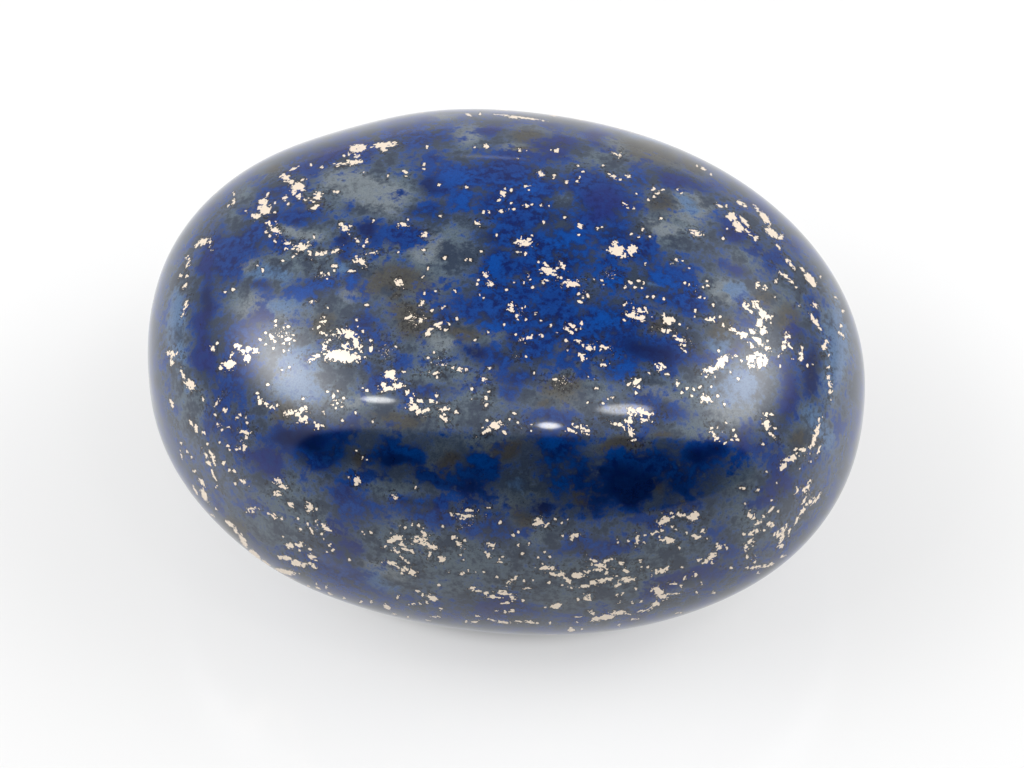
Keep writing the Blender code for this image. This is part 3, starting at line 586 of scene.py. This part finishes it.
class Graph:
    """Adds nodes to one node tree. A value may be a number, a tuple or another node's output."""

    def __init__(self, tree):
        self.nodes = tree.nodes
        self.links = tree.links

    def feed(self, socket, value):
        if isinstance(value, bpy.types.NodeSocket):
            self.links.new(value, socket)
        else:
            socket.default_value = value

    def add(self, kind, inputs=(), **settings):
        node = self.nodes.new(kind)
        for name, value in settings.items():
            setattr(node, name, value)
        for name, value in dict(inputs).items():
            self.feed(node.inputs[name], value)
        return node

    def math(self, operation, *values):
        node = self.add("ShaderNodeMath", operation=operation)
        for socket, value in zip(node.inputs, values):
            self.feed(socket, value)
        return node.outputs[0]

    def vector(self, operation, *values, output="Vector"):
        node = self.add("ShaderNodeVectorMath", operation=operation)
        for socket, value in zip(node.inputs, values):
            self.feed(socket, value)
        return node.outputs[output]

    def fade(self, value, low, high, at_low=0.0, at_high=1.0):
        """Eases from at_low to at_high as the value goes from low to high."""
        ranges = {"Value": value, "From Min": low, "From Max": high, "To Min": at_low, "To Max": at_high}
        return self.add("ShaderNodeMapRange", ranges, interpolation_type="SMOOTHSTEP").outputs["Result"]

    def noise(self, place, per_mm, detail, roughness):
        """Cloudy values about 0.5."""
        inputs = {"Vector": place, "Scale": per_mm, "Detail": detail, "Roughness": roughness}
        return self.add("ShaderNodeTexNoise", inputs).outputs["Fac"]

    def swing(self, value, amount):
        """A noise made to swing about 0, by up to half the amount each way."""
        return self.math("MULTIPLY_ADD", value, amount, -amount / 2)

    def mix(self, share, first, second):
        node = self.add("ShaderNodeMix", {"Factor": share}, data_type="RGBA")
        self.feed(node.inputs[MIX_FIRST], first)
        self.feed(node.inputs[MIX_SECOND], second)
        return node.outputs[MIX_RESULT]

    def attribute(self, name):
        return self.add("ShaderNodeAttribute", attribute_name=name).outputs["Vector"]

    def parts(self, vector):
        return self.add("ShaderNodeSeparateXYZ", {"Vector": vector}).outputs


def camera_axes():
    """The way back to the camera, the picture's right and its up, as unit vectors."""
    around = math.radians(CAMERA_AZIMUTH)
    above = math.radians(CAMERA_ELEVATION)
    back = Vector((math.sin(around) * math.cos(above), -math.cos(around) * math.cos(above), math.sin(above)))
    right = Vector((math.cos(around), math.sin(around), 0.0))
    return back, right, back.cross(right)


def add_camera(centre):
    """The photograph's camera, placed so that the stone's centre falls on its pixel. Returns its place."""
    back, right, up = camera_axes()
    aside = (PHOTO_WIDTH / 2 - STONE_CENTRE_PIXEL[0]) / PIXELS_PER_MM * MM
    above = (STONE_CENTRE_PIXEL[1] - PHOTO_HEIGHT / 2) / PIXELS_PER_MM * MM
    eye = centre + aside * right + above * up + back * (FOCAL_PIXELS / PIXELS_PER_MM * MM)

    data = bpy.data.cameras.new("camera")
    data.sensor_width = SENSOR_WIDTH_MM
    data.lens = FOCAL_PIXELS / PHOTO_WIDTH * SENSOR_WIDTH_MM
    camera = bpy.data.objects.new("camera", data)
    camera.location = eye
    camera.rotation_euler = (-back).to_track_quat("-Z", "Y").to_euler()
    bpy.context.scene.collection.objects.link(camera)
    bpy.context.scene.camera = camera
    return eye


def oval_radius(ways):
    """Distances in millimetres from the centre to the even oval, along unit vectors."""
    x, y, z = np.abs(ways.T)
    half_height = (HEIGHT + REST_CUT) / 2
    plan = (2 * x / LENGTH) ** PLAN_FULLNESS + (2 * y / WIDTH) ** PLAN_FULLNESS
    profile = plan ** (PROFILE_FULLNESS / PLAN_FULLNESS) + (z / half_height) ** PROFILE_FULLNESS
    return profile ** (-1 / PROFILE_FULLNESS)


def wear(ways):
    """How far, in millimetres, the worn spots lift the surface along unit vectors."""
    lift = np.zeros(len(ways))
    for azimuth, elevation, height, half_width in WORN_SPOTS:
        angle = np.degrees(np.arccos(np.clip(ways @ unit_vector(azimuth, elevation), -1, 1)))
        lift += height * np.exp(-((angle / half_width) ** 2))
    return lift


def read_points(mesh):
    points = np.empty(len(mesh.vertices) * 3)
    mesh.vertices.foreach_get("co", points)
    return points.reshape(-1, 3)


def read_corners(mesh):
    """The vertex at each corner of each face, four to a face."""
    corners = np.empty(len(mesh.loops), int)
    mesh.loops.foreach_get("vertex_index", corners)
    return corners


def face_middles(corner_points):
    return corner_points.reshape(-1, 4, 3).mean(axis=1)


def add_baking_map(mesh, globe):
    """An octahedral map of the whole stone: the upper half in the middle, the lower half in the corners."""
    layer = mesh.uv_layers.new(name="OFBake")
    flat = (globe / np.abs(globe).sum(axis=1, keepdims=True))[read_corners(mesh)]
    x, y, _ = flat.T
    side_x, side_y, side_z = np.repeat(np.sign(face_middles(flat)), 4, axis=0).T
    u = np.where(side_z < 0, (1 - np.abs(y)) * side_x, x)
    v = np.where(side_z < 0, (1 - np.abs(x)) * side_y, y)
    places = 0.5 + (0.5 - UV_MARGIN) * np.stack((u, v), axis=1)
    layer.data.foreach_set("uv", places.ravel())


def make_stone():
    """The pebble's fine surface: a gridded cube pulled out to a globe, and the globe to the worn oval."""
    cube = bmesh.new()
    bmesh.ops.create_cube(cube, size=2.0)
    bmesh.ops.subdivide_edges(cube, edges=cube.edges[:], cuts=GRID - 1, use_grid_fill=True)
    mesh = bpy.data.meshes.new("polished_stone")
    cube.to_mesh(mesh)
    cube.free()

    globe = np.tan(read_points(mesh) * math.pi / 4)
    globe /= np.linalg.norm(globe, axis=1, keepdims=True)
    ways = globe * (LENGTH, WIDTH, HEIGHT)
    ways /= np.linalg.norm(ways, axis=1, keepdims=True)
    points = ways * (oval_radius(ways) + wear(ways))[:, None]
    ripple = np.array([noise.noise(Vector(point) / RIPPLE_SPACING) for point in points])
    points += ways * ripple[:, None] * RIPPLE_HEIGHT
    points[:, 2] = np.maximum(points[:, 2] + (HEIGHT - REST_CUT) / 2, 0)
    points[:, :2] -= (points[:, :2].min(axis=0) + points[:, :2].max(axis=0)) / 2
    mesh.vertices.foreach_set("co", (points * MM).ravel())
    mesh.update()
    mesh.shade_smooth()
    add_baking_map(mesh, globe)

    stone = bpy.data.objects.new("polished_stone", mesh)
    bpy.context.scene.collection.objects.link(stone)
    bpy.context.view_layer.update()
    return stone


def make_mark(centre, along, across, normal, solid):
    """A mark at a place on the stone, all in millimetres.

    Its axes are turned into measures: the dot product of one with an offset is 1 at the mark's edge.
    """
    depth = (along.length + across.length) / 2
    along_measure = across.cross(normal) / along.dot(across.cross(normal))
    across_measure = normal.cross(along) / across.dot(normal.cross(along))
    return Mark(centre, along_measure, across_measure, normal / depth, solid)


def seen_mark(stone, eye, row):
    """The mark that a row of pixel measures stands for, cast onto the stone."""
    back, right, up = camera_axes()
    way = right * (row.x - PHOTO_WIDTH / 2) + up * (PHOTO_HEIGHT / 2 - row.y) - back * FOCAL_PIXELS
    way.normalize()
    hit, place, normal, _ = stone.ray_cast(eye, way)
    if not hit:
        raise ValueError(f"the stone isn't at pixel {row.x}, {row.y}")
    facing = min(way.dot(normal), -LEAST_FACING)
    angle = math.radians(row.turn)

    def on_surface(step):
        return (step - way * (step.dot(normal) / facing)) / PIXELS_PER_MM

    along = on_surface((right * math.cos(angle) + up * math.sin(angle)) * row.half_length)
    across = on_surface((up * math.cos(angle) - right * math.sin(angle)) * row.half_width)
    return make_mark(place / MM, along, across, normal, row.solid)


def hidden_mark(stone, hidden, row, chance):
    """A mark of the same size as a seen one, at a random place and turn where the camera can't see."""
    vertex = stone.data.vertices[int(chance.choice(hidden))]
    normal = vertex.normal.normalized()
    lengthwise = normal.orthogonal().normalized()
    lengthwise.rotate(Quaternion(normal, chance.uniform(0, 2 * math.pi)))
    along = lengthwise * (row.half_length / PIXELS_PER_MM)
    across = normal.cross(lengthwise) * (row.half_width / PIXELS_PER_MM)
    return make_mark(vertex.co / MM, along, across, normal, row.solid)


def offsets(points, mark):
    """How far points lie from a mark: 0 at its middle and 1 at its edge."""
    apart = points - np.array(mark.centre)
    measures = np.array((mark.along, mark.across, mark.out))
    return np.linalg.norm(apart @ measures.T, axis=1)


def patch_field(points, marks):
    """How strongly a kind of patch holds at each point: 1 in its middle, a half at its edge."""
    nearest = np.full(len(points), np.inf)
    for mark in marks:
        nearest = np.minimum(nearest, offsets(points, mark))
    return 1 / (1 + nearest**PATCH_STEEPNESS)


def store(mesh, name, domain, values):
    """Keeps one vector for each vertex or face, for the material to read."""
    layer = mesh.attributes.new(name, "FLOAT_VECTOR", domain)
    layer.data.foreach_set("vector", np.ascontiguousarray(values, np.float32).ravel())


def mark_patches(stone, patches):
    """Stores how the kinds of patches hold over the stone, with wandering edges.

    The level goes from 0, all matrix, to 1, all lazurite, and is a half where no patch is.
    """
    points = read_points(stone.data) / MM
    noise.seed_set(SEED)
    wander = np.array([noise.noise_vector(Vector(point) / WANDER_SPACING) for point in points])
    wandered = points + wander * WANDER
    cloud = np.array([noise.fractal(Vector(point) / CLOUD_SPACING, *CLOUD_OCTAVES) for point in points])
    fields = {kind: patch_field(wandered, marks) for kind, marks in patches.items()}
    lazurite = np.max([fields[kind] for kind in ("blue", "cobalt", "violet", "navy")], axis=0)
    matrix = np.max([fields[kind] for kind in ("grey", "brown", "pale")], axis=0)
    level = 0.5 + (lazurite - matrix) / 2
    groups = {
        "stone_hue": (level, fields["cobalt"], fields["violet"]),
        "stone_tone": (fields["navy"], fields["brown"], fields["pale"]),
        # Its second column is the painted shade over the front band, less the lighter grey patches.
        "stone_detail": (fields["dust"], fields["painted_shade"] - fields["light"], 0.5 + cloud),
    }
    for name, columns in groups.items():
        store(stone.data, name, "POINT", np.stack(columns, axis=1))


def mark_flecks(stone, layer, marks):
    """Tells each face the nearest fleck of a layer: its middle, its two measures and its shape.

    The shape is how deep the fleck counts inside, its half-width, and how ragged its edge is.
    """
    middles = face_middles((read_points(stone.data) / MM)[read_corners(stone.data)])
    nearest = np.full(len(middles), np.inf)
    owner = np.zeros(len(middles), int)
    for index, mark in enumerate(marks):
        size = 1 / max(mark.along.length, mark.across.length)
        gap = (offsets(middles, mark) - 1) * size
        closer = gap < nearest
        nearest[closer] = gap[closer]
        owner[closer] = index
    for name in ("centre", "along", "across"):
        values = np.array([getattr(mark, name) for mark in marks])
        store(stone.data, f"{layer}_{name}", "FACE", values[owner])
    width = np.array([1 / mark.across.length for mark in marks])
    depth = -LOOSE_DEPTH - SOLID_DEPTH * np.array([mark.solid for mark in marks])
    shape = np.stack((depth, width, np.minimum(width / RAGGED_WIDTH, 1)), axis=1)
    store(stone.data, f"{layer}_shape", "FACE", shape[owner])


def add_markings(stone, eye):
    """Places all patches and flecks, the seen ones by pixel and the hidden ones by chance."""
    chance = np.random.default_rng(SEED)
    back = camera_axes()[0]
    facing = np.array([vertex.normal.dot(back) for vertex in stone.data.vertices])
    hidden = np.flatnonzero(facing < HIDDEN_FACING)

    def place(table):
        rows = [Row(*values) for values in table]
        seen = [seen_mark(stone, eye, row) for row in rows]
        return seen + [hidden_mark(stone, hidden, row, chance) for row in rows]

    patches = {
        "blue": place(BLUE_PATCHES),
        "cobalt": place(COBALT_PATCHES),
        "violet": place(VIOLET_PATCHES),
        "navy": place(NAVY_PATCHES),
        "grey": place(GREY_PATCHES),
        "brown": place(BROWN_PATCHES),
        "pale": place(PALE_AND_EDGE_SHEEN_PATCHES),
        "dust": place(DUST_PATCHES),
        "painted_shade": place(PAINTED_SHADE_PATCHES),
        "light": place(LIGHT_PATCHES),
    }
    mark_patches(stone, patches)
    large = tuple(values for values in FLECKS if Row(*values).half_length >= LARGE_FLECK)
    small = tuple(values for values in FLECKS if Row(*values).half_length < LARGE_FLECK)
    mark_flecks(stone, "large", place(large))
    mark_flecks(stone, "small", place(small + GRAINS))


def lapis_material():
    """Lazurite blues over a grey, brown and pale matrix, with flecks, grains and dust of pyrite."""
    material = bpy.data.materials.new("polished_lapis")
    material.use_nodes = True
    graph = Graph(material.node_tree)
    shader = graph.nodes["Principled BSDF"]
    place = graph.vector("MULTIPLY", graph.add("ShaderNodeTexCoord").outputs["Object"], (1 / MM,) * 3)
    fine = graph.noise(place, *FINE_NOISE)
    crumbs = graph.noise(place, *CRUMB_NOISE)
    grain = graph.noise(place, *GRAIN_NOISE)
    level, cobalt, violet = graph.parts(graph.attribute("stone_hue"))
    navy, brown, pale = graph.parts(graph.attribute("stone_tone"))
    dust, painted_shade_and_light_grey, cloud = graph.parts(graph.attribute("stone_detail"))
    rough = graph.math("ADD", graph.swing(cloud, CLOUD_SWING), graph.swing(fine, FINE_SWING))
    lightness = graph.math("MULTIPLY", fine, FINE_LIGHTNESS)
    lightness = graph.math("MULTIPLY_ADD", cloud, CLOUD_LIGHTNESS, lightness)
    # Above 0 this is painted shade over the front band, below 0 the lighter grey patches. The noises roughen
    # it.
    painted_shade_and_light_grey = graph.math("MULTIPLY", painted_shade_and_light_grey, graph.math("ADD", rough, 1.0))

    def share(kind, field):
        """How much of a kind of patch shows, its field roughened by the noises."""
        start, full, most = SHARES[kind]
        return graph.fade(graph.math("ADD", field, rough), start, full, 0.0, most)

    matrix = graph.mix(graph.fade(lightness, *MATRIX_FADE), srgb(*GREY_DARK), srgb(*GREY_LIGHT))
    matrix = graph.mix(graph.fade(painted_shade_and_light_grey, *LIGHT_FADE), matrix, srgb(*GREY_PALE))
    matrix = graph.mix(share("brown", brown), matrix, srgb(*BROWN))
    # Pale patches, with the painted sheen along the left and right edges.
    matrix = graph.mix(share("pale", pale), matrix, srgb(*PALE))
    blue = graph.mix(graph.fade(fine, *BLUE_FADE), srgb(*LAZURITE_DARK), srgb(*LAZURITE_LIGHT))
    blue = graph.mix(share("violet", violet), blue, srgb(*VIOLET))
    blue = graph.mix(share("cobalt", cobalt), blue, srgb(*COBALT))
    blue = graph.mix(share("navy", navy), blue, srgb(*NAVY))
    body = graph.mix(share("lazurite", level), matrix, blue)
    body = graph.mix(graph.fade(lightness, *MOTTLE_FADE), body, srgb(*MOTTLE_AND_PAINTED_SHADE))
    body = graph.mix(graph.fade(grain, *GRAIN_FADE), body, srgb(*NAVY))
    # Painted shade: the band across the front darkened towards the near-black blue.
    body = graph.mix(graph.fade(painted_shade_and_light_grey, *PAINTED_SHADE_FADE), body, srgb(*MOTTLE_AND_PAINTED_SHADE))

    ragged = graph.math("ADD", graph.swing(crumbs, CRUMB_RAGGEDNESS), graph.swing(fine, FINE_RAGGEDNESS))

    def fleck_edge(layer):
        """The way in millimetres from a layer's nearest fleck, less than nothing inside it."""
        apart = graph.vector("SUBTRACT", place, graph.attribute(f"{layer}_centre"))
        along = graph.vector("DOT_PRODUCT", apart, graph.attribute(f"{layer}_along"), output="Value")
        across = graph.vector("DOT_PRODUCT", apart, graph.attribute(f"{layer}_across"), output="Value")
        squares = graph.math("MULTIPLY_ADD", along, along, graph.math("MULTIPLY", across, across))
        depth, width, unevenness = graph.parts(graph.attribute(f"{layer}_shape"))
        core = graph.math("MULTIPLY", width, -FLECK_REACH)
        reach = graph.math("MULTIPLY_ADD", graph.math("SQRT", squares), width, core)
        return graph.math("MULTIPLY_ADD", ragged, unevenness, graph.math("MAXIMUM", reach, depth))

    large_edge = fleck_edge("large")
    dusted = graph.math("MAXIMUM", dust, graph.fade(large_edge, *DUST_FADE))
    threshold = graph.math("MULTIPLY_ADD", dusted, -SPECK_FALL, SPECK_LEVEL)
    speck_edge = graph.math("MULTIPLY", graph.math("SUBTRACT", threshold, grain), SPECK_SLOPE)
    edge = graph.math("MINIMUM", large_edge, fleck_edge("small"))
    edge = graph.math("MINIMUM", edge, speck_edge)
    pyrite = graph.fade(edge, *PYRITE_FADE)
    rim = graph.fade(graph.math("ADD", edge, graph.swing(crumbs, RIM_RAGGEDNESS)), *RIM_FADE)
    body = graph.mix(rim, body, srgb(*RIM))
    colour = graph.mix(pyrite, body, srgb(*PYRITE))

    graph.feed(shader.inputs["Base Color"], colour)
    graph.feed(shader.inputs["Metallic"], graph.math("MULTIPLY", pyrite, PYRITE_METALLIC))
    gloss = graph.fade(pyrite, 0.0, 1.0, STONE_ROUGHNESS, PYRITE_ROUGHNESS)
    graph.feed(shader.inputs["Roughness"], gloss)
    shader.inputs["IOR"].default_value = STONE_IOR
    return material


def add_world():
    """The white tent round the stone: an opening for the camera, softboxes and four small lamps."""
    world = bpy.data.worlds.new("tent")
    world.use_nodes = True
    bpy.context.scene.world = world
    graph = Graph(world.node_tree)
    direction = graph.add("ShaderNodeTexCoord").outputs["Generated"]

    def span(azimuth, elevation, half_length, half_width, turn):
        """The square of how far a direction is from an oval's middle, as a share of the way to its edge."""
        outward = Vector(unit_vector(azimuth + CAMERA_AZIMUTH - 90, elevation))
        lengthwise = Vector(unit_vector(azimuth + CAMERA_AZIMUTH, 0))
        lengthwise.rotate(Quaternion(outward, math.radians(turn)))
        narrow = math.radians(half_width) ** -2
        wide = math.radians(half_length) ** -2
        near = graph.vector("DOT_PRODUCT", direction, outward * (-2 * narrow), output="Value")
        aside = graph.vector("DOT_PRODUCT", direction, lengthwise * math.sqrt(narrow - wide), output="Value")
        aside_squared = graph.math("MULTIPLY", aside, aside)
        return graph.math("SUBTRACT", graph.math("ADD", near, 2 * narrow), aside_squared)

    def glow(*oval):
        return graph.math("EXPONENT", graph.math("MULTIPLY", span(*oval), -1.0))

    def disc(softness, *oval):
        return graph.fade(span(*oval), (1 + softness) ** 2, (1 - softness) ** 2)

    light = TENT
    for *oval, strength in GLOWS:
        light = graph.math("MULTIPLY_ADD", glow(*oval), strength, light)
    for *oval, share in DIM_PARTS:
        light = graph.math("MULTIPLY", light, graph.math("MULTIPLY_ADD", glow(*oval), -share, 1.0))
    light = graph.math("MULTIPLY", light, graph.math("SUBTRACT", 1.0, disc(OPENING_SOFTNESS, *OPENING)))
    *oval, strength = NEAR_EDGE
    light = graph.math("MULTIPLY_ADD", glow(*oval), strength, light)
    for *oval, strength in LAMPS:
        light = graph.math("MULTIPLY_ADD", disc(LAMP_SOFTNESS, *oval), strength, light)

    shine = graph.nodes["Background"]
    shine.inputs["Color"].default_value = WHITE
    graph.feed(shine.inputs["Strength"], light)
    backdrop = graph.add("ShaderNodeBackground", {"Color": BACKDROP})
    straight = graph.add("ShaderNodeLightPath").outputs["Is Camera Ray"]
    chosen = graph.add("ShaderNodeMixShader", {"Fac": straight})
    graph.links.new(shine.outputs["Background"], chosen.inputs[1])
    graph.links.new(backdrop.outputs["Background"], chosen.inputs[2])
    graph.links.new(chosen.outputs["Shader"], graph.nodes["World Output"].inputs["Surface"])
    return world


def add_floor():
    """A pale floor just under the resting spot."""
    floor = bmesh.new()
    bmesh.ops.create_grid(floor, x_segments=1, y_segments=1, size=FLOOR_SIZE / 2)
    mesh = bpy.data.meshes.new("floor")
    floor.to_mesh(mesh)
    floor.free()
    material = bpy.data.materials.new("pale_floor")
    material.use_nodes = True
    graph = Graph(material.node_tree)
    shader = graph.nodes["Principled BSDF"]
    shader.inputs["Base Color"].default_value = FLOOR_COLOUR
    shader.inputs["Roughness"].default_value = FLOOR_ROUGHNESS
    shader.inputs["Emission Color"].default_value = WHITE
    place = graph.add("ShaderNodeTexCoord").outputs["Object"]
    distance = graph.vector("LENGTH", place, output="Value")
    glow = graph.fade(distance, FLOOR_GLOW_NEAR, FLOOR_GLOW_FAR, FLOOR_GLOW, FLOOR_FAR_GLOW)
    # Painted contact shadow: the glow fades out under and just round the stone.
    round_place = graph.vector("MULTIPLY", place, (WIDTH / LENGTH, 1.0, 1.0))
    beneath = graph.vector("LENGTH", round_place, output="Value")
    glow = graph.math("MULTIPLY", glow, graph.fade(beneath, FLOOR_SHADE_NEAR, FLOOR_SHADE_FAR))
    # Painted pools of light, one under each softbox.
    for azimuth, strength in POOLS:
        middle = unit_vector(azimuth + CAMERA_AZIMUTH - 90, 0) * POOL_DISTANCE
        apart = graph.vector("DISTANCE", place, tuple(middle), output="Value")
        reach = graph.math("DIVIDE", apart, POOL_RADIUS)
        pool = graph.math("EXPONENT", graph.math("MULTIPLY", reach, graph.math("MULTIPLY", reach, -1.0)))
        glow = graph.math("MULTIPLY_ADD", pool, strength, glow)
    graph.feed(shader.inputs["Emission Strength"], glow)
    mesh.materials.append(material)
    plane = bpy.data.objects.new("floor", mesh)
    plane.location.z = -FLOOR_GAP
    bpy.context.scene.collection.objects.link(plane)


def main():
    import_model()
    bpy.context.scene.view_settings.view_transform = "Standard"
    eye = add_camera(Vector((0, 0, (HEIGHT - REST_CUT) / 2 * MM)))
    add_world()
    add_floor()
    stone = make_stone()
    add_markings(stone, eye)
    stone.data.materials.append(lapis_material())
    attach(stone, "root")
    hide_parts("lapis_stone")


main()
